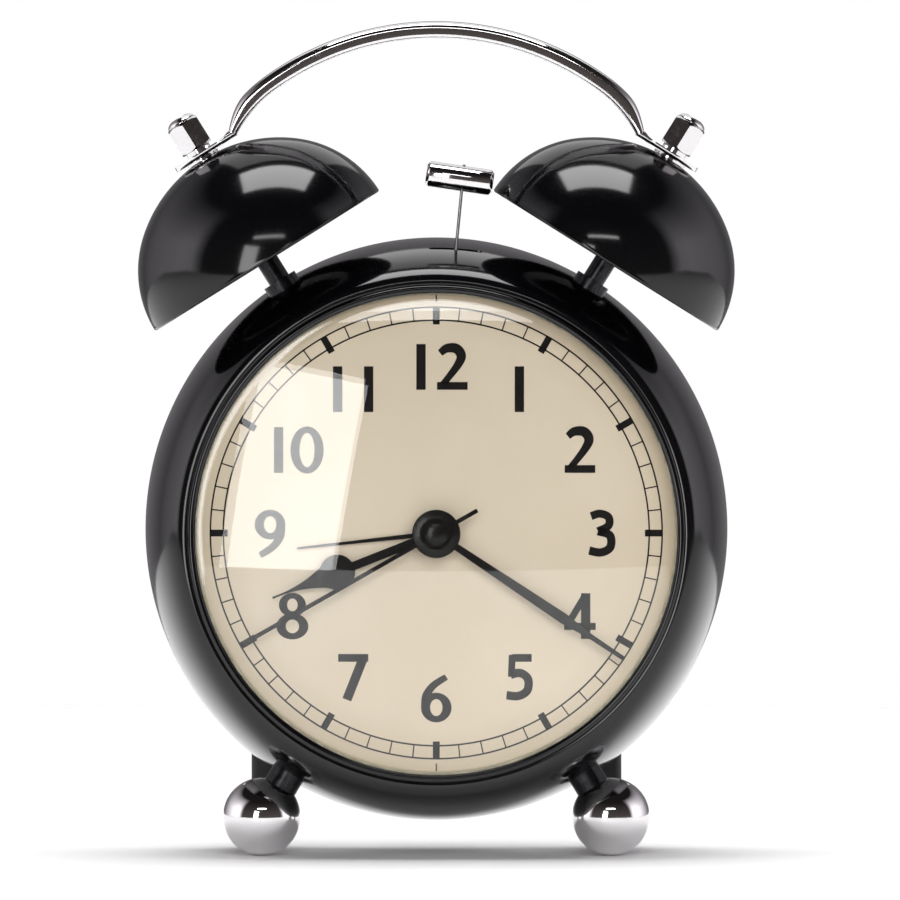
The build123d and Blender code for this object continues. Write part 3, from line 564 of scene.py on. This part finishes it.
def archStations():
    # the top arc and the side arc, from the middle of the handle to its right end
    depth = handle["crown"] + handle["strip"]
    sweep = math.radians(handle["topSweep"])
    inward = handle["topRadius"] - handle["sideRadius"]
    topCentre = Vector((0.0, 0.0, handle["topCentre"]))
    sideCentre = topCentre + inward * Vector((math.sin(sweep), 0.0, math.cos(sweep)))
    steps = handle["steps"]
    arcs = [(topCentre, handle["topRadius"], 0.0, handle["topSweep"], range(steps + 1))]
    sideMarks = range(1, steps + 1)
    arcs.append((sideCentre, handle["sideRadius"], handle["topSweep"], handle["endAngle"], sideMarks))
    stations = []
    for centre, radius, first, last, marks in arcs:
        for mark in marks:
            angle = first + (last - first) * mark / steps
            out = Vector((math.sin(math.radians(angle)), 0.0, math.cos(math.radians(angle))))
            crown = handle["crown"] * fadeOut(max(0.0, angle - handle["flatFrom"]) / handle["flatOver"])
            stations.append((centre + out * (radius - depth), out, handle["width"], crown))
    return stations


def tabStations(lastSpot, lastOut, lastCrown):
    # the strip turns into the tab's plane before the nut and ends in a round tip
    tabOut = Vector((math.sin(tilt), 0.0, math.cos(tilt)))
    tabRun = Vector((math.cos(tilt), 0.0, -math.sin(tilt)))
    start, end, half = handle["tabStart"], handle["tabEnd"], handle["tabWidth"] / 2
    joinRun, joinSteps, bendSteps, tabSteps = lastSpot.dot(tabRun), 14, 9, 32
    stations = []
    for step in range(1, joinSteps + 1):
        run = joinRun + (start - joinRun) * step / joinSteps
        turn = min(1.0, step / bendSteps)
        out = (lastOut * (1 - turn) + tabOut * turn).normalized()
        crown = lastCrown * fadeOut(step / joinSteps)
        stations.append((tabOut * handle["tabAt"] + tabRun * run, out, handle["width"], crown))
    for step in range(1, tabSteps + 1):
        run = start + (end - start) * step / tabSteps
        past = max(0.0, run - (end - half))
        width = 2 * math.sqrt(max(0.02, half * half - past * past))
        stations.append((tabOut * handle["tabAt"] + tabRun * run, tabOut, width, 0.0))
    return stations


def handleSection():
    # half-width shares and lifts of the crown, from one side to the other
    power = 2.0 / handle["squareness"]
    section = []
    for step in range(29):
        turn = math.radians(-90 + 180 * step / 28)
        share = math.copysign(abs(math.sin(turn)) ** power, turn)
        section.append((share, max(0.0, math.cos(turn)) ** power))
    return section


def makeHandle():
    stations = archStations()
    lastSpot, lastOut, _, lastCrown = stations[-1]
    stations += tabStations(lastSpot, lastOut, lastCrown)
    mirrored = []
    for spot, out, width, crown in reversed(stations[1:]):
        mirrored.append((Vector((-spot.x, 0, spot.z)), Vector((-out.x, 0, out.z)), width, crown))
    # the section is a channel: a flat crown with steep sides and a rounded hem
    section = handleSection()
    hem = [(0.995, -0.42), (0.965, -0.82), (0.90, -0.96), (0.84, -0.85)]
    lip, thick = hem[-1][0], handle["strip"]
    bm = bmesh.new()
    rows = []
    for spot, out, width, crown in mirrored + stations:
        base = spot + Vector((0.0, clock["bellDepth"], clock["dialHeight"]))
        half = width / 2
        places = [(share * half, thick + crown * lift) for share, lift in section]
        places += [(share * half, thick * (1 + lift)) for share, lift in hem]
        places += [(share * lip * half, crown * 0.9 * lift + thick * 0.15) for share, lift in section[::-1]]
        places += [(-share * half, thick * (1 + lift)) for share, lift in hem[::-1]]
        spots = [base + Vector((0, along, 0)) + out * lift for along, lift in places]
        rows.append([bm.verts.new(corner * mm) for corner in spots])
    for first, second in zip(rows, rows[1:]):
        for step in range(len(first)):
            after = (step + 1) % len(first)
            bm.faces.new((first[step], first[after], second[after], second[step]))
    bm.faces.new(rows[0])
    bm.faces.new(rows[-1])
    strip = meshObject("handleStrip", "case", "chrome", bm, 50.0)
    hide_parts("handle")


makeHandle()
print("handle")

ball = {"radius": 7.7, "spoke": 66.0, "lean": 31.5, "depth": -6.0, "lift": 0.1}


def makeBall(name, node, side):
    # a ball with a small flat where it stands
    radius = ball["radius"]
    lowest = ball["lift"] - radius
    centre = (side * ball["spoke"] * math.sin(math.radians(ball["lean"])), ball["depth"], radius)
    flatTurn = math.degrees(math.asin(lowest / radius))
    profile = arcPoints(0, 0, radius, radius, 90, flatTurn, 64) + [(0.0, lowest)]
    piece = meshObject(name, "case", "chrome", turned(profile, centre, (0, 0, 1), 96))
    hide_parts(node)


makeBall("ballFootRight", "ball_foot_right", 1)
makeBall("ballFootLeft", "ball_foot_left", -1)

print("ball feet")

hammer = {"x": 4.63, "z": 69.8, "depth": -7.5, "droop": 8.5, "radius": 2.5, "length": 13.3, "chamfer": 0.7}


def makeHammerHead():
    droop = math.radians(hammer["droop"])
    half, cut, wide = hammer["length"] / 2, hammer["chamfer"], hammer["radius"]
    quarter = [(wide, half - cut), (wide - 0.12, half - cut + 0.22)]
    quarter += [(wide - cut + 0.15, half - 0.12), (wide - cut, half)]
    ends = [(0.0, -half)] + [(radius, -height) for radius, height in quarter[::-1]] + quarter + [(0.0, half)]
    centre = (hammer["x"], hammer["depth"], clock["dialHeight"] + hammer["z"])
    axis = (math.cos(droop), 0.0, -math.sin(droop))
    piece = meshObject("hammerBarrel", "hammer", "chrome", turned(ends, centre, axis, 64), 30.0)
    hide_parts("hammer_head")


makeHammerHead()
print("hammer")

hub = {
    "depth": -17.4,
    "disc": 4.75,
    "step": 0.35,
    "round": 0.4,
    "dome": 3.0,
    "domeFrom": 0.78,
    "domeHigh": 1.02,
}


def makeHub():
    # a flat disc with a rounded edge, and a dome that stands in a shallow groove
    back, disc, edge, dome = hub["depth"], hub["disc"], hub["step"], hub["dome"]
    profile = [(0.0, back), (disc, back), (disc, back - edge)]
    profile += arcPoints(disc - hub["round"], back - edge, hub["round"], edge, 0, -90, 6)
    profile += [(dome + 0.15, back - 2 * edge), (dome, back - hub["domeFrom"])]
    profile += arcPoints(0.0, back - hub["domeFrom"], dome, hub["domeHigh"], 0, -90, 16)[1:]
    cap = meshObject("hubDome", "second_hand", "hand_black", turned(profile, dialCentre, backwards, 96))
    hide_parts("hub_cap")


makeHub()
print("hub cap")

dial = {
    "numeralRing": 32.7,
    "numeralHeight": 9.0,
    "stroke": 0.205,
    "pairSpread": {"10": 4.3, "11": 6.1, "12": 4.9},
    "narrowOne": (-0.55, 0.75),
    "trackOuter": 44.45,
    "trackInner": 41.9,
    "line": 0.32,
    "minuteTick": 0.26,
    "hourTick": 1.35,
    "hourTickPast": 0.85,
    "noonTick": (45.4, 46.9),
    "inkHeight": 0.03,
    "inkSunk": 0.004,
}


def smoothLine(points, count=10):
    # a Catmull-Rom line through given points
    def between(p, q, r, s, t):
        bend = (2 * p - 5 * q + 4 * r - s) * t * t + (3 * q - p - 3 * r + s) * t ** 3
        return 0.5 * (2 * q + (r - p) * t + bend)

    ends = [points[0]] + points + [points[-1]]
    line = []
    for near in zip(ends, ends[1:], ends[2:], ends[3:]):
        for step in range(count):
            line.append(tuple(between(*values, step / count) for values in zip(*near)))
    line.append(points[-1])
    return line


def inkStrip(bm, line, width, place):
    # a flat ribbon along a line of (x, z) points; width may change along it
    pairs = []
    last = len(line) - 1
    for index, (x, z) in enumerate(line):
        before, after = line[max(0, index - 1)], line[min(last, index + 1)]
        run = Vector((after[0] - before[0], after[1] - before[1])).normalized()
        half = (width(index / last) if callable(width) else width) / 2
        across = Vector((-run.y, run.x)) * half
        left, right = place(x + across.x, z + across.y), place(x - across.x, z - across.y)
        pairs.append((bm.verts.new(left), bm.verts.new(right)))
    for (a, b), (c, d) in zip(pairs, pairs[1:]):
        bm.faces.new((a, c, d, b))


def inkRing(bm, centre, outer, inner, place, count=40):
    # a flat oval ring; outer and inner are half its width and height
    pairs = []
    for step in range(count):
        turn = 2 * math.pi * step / count
        wide = (centre[0] + outer[0] * math.cos(turn), centre[1] + outer[1] * math.sin(turn))
        narrow = (centre[0] + inner[0] * math.cos(turn), centre[1] + inner[1] * math.sin(turn))
        pairs.append((bm.verts.new(place(*wide)), bm.verts.new(place(*narrow))))
    for (a, b), (c, d) in zip(pairs, pairs[1:] + pairs[:1]):
        bm.faces.new((a, c, d, b))


def drawDigit(bm, digit, place):
    # each digit stands in a box one unit high
    bar = dial["stroke"]
    if digit == "1":
        inkStrip(bm, [(0.0, 0.0), (0.0, 1.0)], bar, place)
    elif digit == "0":
        inkRing(bm, (0, 0.5), (0.365, 0.515), (0.165, 0.375), place)
    elif digit == "2":
        bowl = [(-0.27, 0.80), (-0.13, 0.905), (0.08, 0.90), (0.19, 0.74), (0.10, 0.52), (-0.20, 0.13)]

        def swell(t):
            return bar * (0.72 + 0.34 * math.sin(math.pi * min(1.0, t * 1.1)))

        inkStrip(bm, smoothLine(bowl), swell, place)
        inkStrip(bm, [(-0.34, 0.085), (0.33, 0.085)], 0.17, place)
    elif digit == "3":
        upper = [(-0.25, 0.87), (-0.06, 0.925), (0.13, 0.85), (0.13, 0.66), (-0.10, 0.54)]
        lower = [(-0.10, 0.54), (0.16, 0.45), (0.17, 0.19), (-0.04, 0.075), (-0.29, 0.12)]
        inkStrip(bm, smoothLine(upper), bar * 0.86, place)
        inkStrip(bm, smoothLine(lower), bar * 0.90, place)
    elif digit == "4":
        inkStrip(bm, [(0.12, 0.97), (-0.28, 0.30)], 0.15, place)
        inkStrip(bm, [(-0.35, 0.275), (0.34, 0.275)], 0.155, place)
        inkStrip(bm, [(0.12, 0.0), (0.12, 1.0)], bar, place)
    elif digit == "5":
        inkStrip(bm, [(-0.16, 0.915), (0.27, 0.915)], 0.17, place)
        inkStrip(bm, [(-0.155, 0.98), (-0.175, 0.50)], 0.15, place)
        bowl = [(-0.19, 0.545), (0.02, 0.585), (0.19, 0.45), (0.17, 0.20), (-0.03, 0.08), (-0.28, 0.10)]
        inkStrip(bm, smoothLine(bowl), bar * 0.90, place)
    elif digit in "69":
        flip = place if digit == "6" else (lambda x, z: place(-x, 1 - z))  # a 9 is a 6 upside down
        inkRing(bm, (0, 0.315), (0.335, 0.325), (0.135, 0.185), flip)
        stem = [(-0.235, 0.35), (-0.215, 0.58), (-0.06, 0.80), (0.22, 0.985)]
        inkStrip(bm, smoothLine(stem), lambda t: bar * (0.98 - 0.32 * t), flip)
    elif digit == "7":
        inkStrip(bm, [(-0.33, 0.915), (0.33, 0.915)], 0.17, place)
        inkStrip(bm, [(0.215, 0.90), (-0.14, 0.0)], bar, place)
    elif digit == "8":
        inkRing(bm, (0, 0.745), (0.295, 0.265), (0.115, 0.14), place)
        inkRing(bm, (0, 0.275), (0.35, 0.285), (0.145, 0.15), place)


def makeNumerals():
    bm = bmesh.new()
    depth = clock["dialFront"] - dial["inkHeight"]
    height = dial["numeralHeight"]
    for hour in range(1, 13):
        angle = math.radians(30 * hour)
        centreX = dial["numeralRing"] * math.sin(angle)
        centreZ = dial["numeralRing"] * math.cos(angle) + clock["dialHeight"]
        digits = str(hour)
        spread = dial["pairSpread"].get(digits, 0.0)
        for index, digit in enumerate(digits):
            offset = (index - 0.5) * spread
            if digits in ("10", "12"):  # the 1 is narrower than its partner
                offset += dial["narrowOne"][index]

            def place(x, z, shift=centreX + offset, base=centreZ - height / 2):
                return Vector((shift + x * height, depth, base + z * height)) * mm

            drawDigit(bm, digit, place)
    return bm


def makeTrack():
    bm = bmesh.new()
    depth = clock["dialFront"] - dial["inkHeight"]

    def flat(x, z):
        return Vector((x, depth, z + clock["dialHeight"])) * mm

    for radius in (dial["trackOuter"], dial["trackInner"]):
        half = dial["line"] / 2
        inkRing(bm, (0, 0), (radius + half, radius + half), (radius - half, radius - half), flat, 240)
    for minute in range(60):
        turn = math.radians(6 * minute)
        out = (math.sin(turn), math.cos(turn))
        start, end, width = dial["trackInner"], dial["trackOuter"], dial["minuteTick"]
        if minute % 5 == 0:
            start, width = start - dial["hourTickPast"], dial["hourTick"]
        inkStrip(bm, [(out[0] * start, out[1] * start), (out[0] * end, out[1] * end)], width, flat)
    for sign in (1, -1):  # short marks past the track at the top and the bottom
        inkStrip(bm, [(0, sign * height) for height in dial["noonTick"]], dial["minuteTick"], flat)
    return bm


def inkPiece(name, bm):
    # ink has a little body: the outlines stand just proud of the dial
    grow(bm, (0, (dial["inkHeight"] - dial["inkSunk"]) * mm, 0))
    piece = addObject(name, bm)
    piece.data.materials.append(ink)
    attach(piece, "case")


ink = makeInk()
inkPiece("dialNumerals", makeNumerals())
inkPiece("minuteTrack", makeTrack())
print("dial print")

studio = {
    "floor": (0.86, 0.86, 0.86),
    "floorPale": (0.90, 0.90, 0.90),
    "floorSide": 2.2,
    "floorReach": 0.55,
    "camera": (0.0027, -2.0, 0.134),
    "aim": (0.0027, 0.0, 0.080),
    "span": 0.1782,
    "background": (1.0, 1.0, 1.0),
    "room": (0.085, 0.074, 0.070),
    "ceiling": (0.012, 0.010, 0.010),
    "sideWall": (1.75, 1.66, 1.74),
    "rearWall": (0.20, 0.19, 0.20),
}
clockMiddle = (0.0, 0.0, 0.075)
lamps = {
    "windowSoftbox": {"spot": (-0.555, -1.80, 0.22), "size": (0.44, 0.84), "radiance": 5.5, "turn": -9.0},
    "frontStrip": {"spot": (0.0, -1.83, 0.93), "size": (0.95, 0.10), "radiance": 6.0},
    "overheadPanel": {"spot": (0.0, -0.02, 1.15), "size": (0.85, 0.52), "radiance": 7.0},
    "rearSoftbox": {"spot": (0.0, 0.85, 1.0), "size": (1.0, 1.0), "radiance": 0.9},
    "floorLamp": {
        "spot": (0.0, 0.30, 1.9), "aim": (0.0, 0.30, 0.0), "size": (1.4, 1.2), "radiance": 0.8,
        "spread": 80.0, "mirrored": False,
    },
    "fillLamp": {"spot": (0.35, -1.8, 0.55), "size": (1.2, 1.2), "radiance": 5.0, "mirrored": False},
}


def makeFloor():
    net = Net("paleFloor")
    grain = net.noise(40.0, 5.0)
    material = net.surface(
        Base_Color=net.blend(grain, studio["floor"], studio["floorPale"]),
        Roughness=0.55 + grain * 0.1,
        Normal=net.bump(grain, 0.05, 0.0002),
    )
    bm = bmesh.new()
    side, reach = studio["floorSide"], studio["floorReach"]
    corners = [(-side, -reach), (side, -reach), (side, reach), (-side, reach)]
    bm.faces.new([bm.verts.new((x, y, 0.0)) for x, y in corners])
    floor = addObject("floorSheet", bm)
    floor.data.materials.append(material)


def makeLight(name, lamp):
    data = bpy.data.lights.new(name, "AREA")
    data.shape = "RECTANGLE"
    data.size, data.size_y = lamp["size"]
    data.spread = math.radians(lamp.get("spread", 180.0))
    data.energy = lamp["radiance"] * math.pi * data.size * data.size_y
    spot = Vector(lamp["spot"])
    aimed = (Vector(lamp.get("aim", clockMiddle)) - spot).to_track_quat("-Z", "Y")
    turn = Quaternion((0.0, 0.0, 1.0), math.radians(lamp.get("turn", 0.0)))
    light = bpy.data.objects.new(name, data)
    light.location = spot
    light.rotation_euler = (aimed @ turn).to_euler()
    light.visible_glossy = lamp.get("mirrored", True)  # fill light isn't mirrored in chrome and paint
    bpy.context.collection.objects.link(light)


def makeWorld():
    # a dim room with low pale walls at the sides and behind; the backdrop itself is white
    world = bpy.data.worlds.new("studioAir")
    net = Net("studioAir", world)
    toward = net.add("ShaderNodeTexCoord", output="Generated")
    back = net.add("ShaderNodeSeparateXYZ", None, {0: toward}, output="Y")
    up = net.add("ShaderNodeSeparateXYZ", None, {0: toward}, output="Z")
    wall = net.ramp(back, -0.50, -0.30) * (1.0 - net.ramp(up, 0.30, 0.75))
    tone = net.blend(net.ramp(back, -0.1, 0.8), studio["sideWall"], studio["rearWall"])
    gloom = net.blend(net.ramp(up, 0.0, 0.7), studio["room"], studio["ceiling"])
    room = net.blend(wall, gloom, tone)
    eye = net.add("ShaderNodeLightPath", output="Is Camera Ray")
    air = net.blend(eye, room, studio["background"])
    glow = net.add("ShaderNodeBackground", None, {"Color": air, "Strength": 1.0})
    net.finish(glow, "ShaderNodeOutputWorld")
    bpy.context.scene.world = world


def makeCamera():
    spot, aim = Vector(studio["camera"]), Vector(studio["aim"])
    data = bpy.data.cameras.new("studioCamera")
    data.sensor_width = 36.0
    data.lens = data.sensor_width * (aim - spot).length / studio["span"]
    data.clip_end = 50.0
    camera = bpy.data.objects.new("studioCamera", data)
    camera.location = spot
    camera.rotation_euler = (aim - spot).to_track_quat("-Z", "Y").to_euler()
    bpy.context.collection.objects.link(camera)
    bpy.context.scene.camera = camera
    bpy.context.scene.view_settings.view_transform = "Standard"


makeFloor()
for name, lamp in lamps.items():
    makeLight(name, lamp)
makeWorld()
makeCamera()
print("floor, lights and camera")
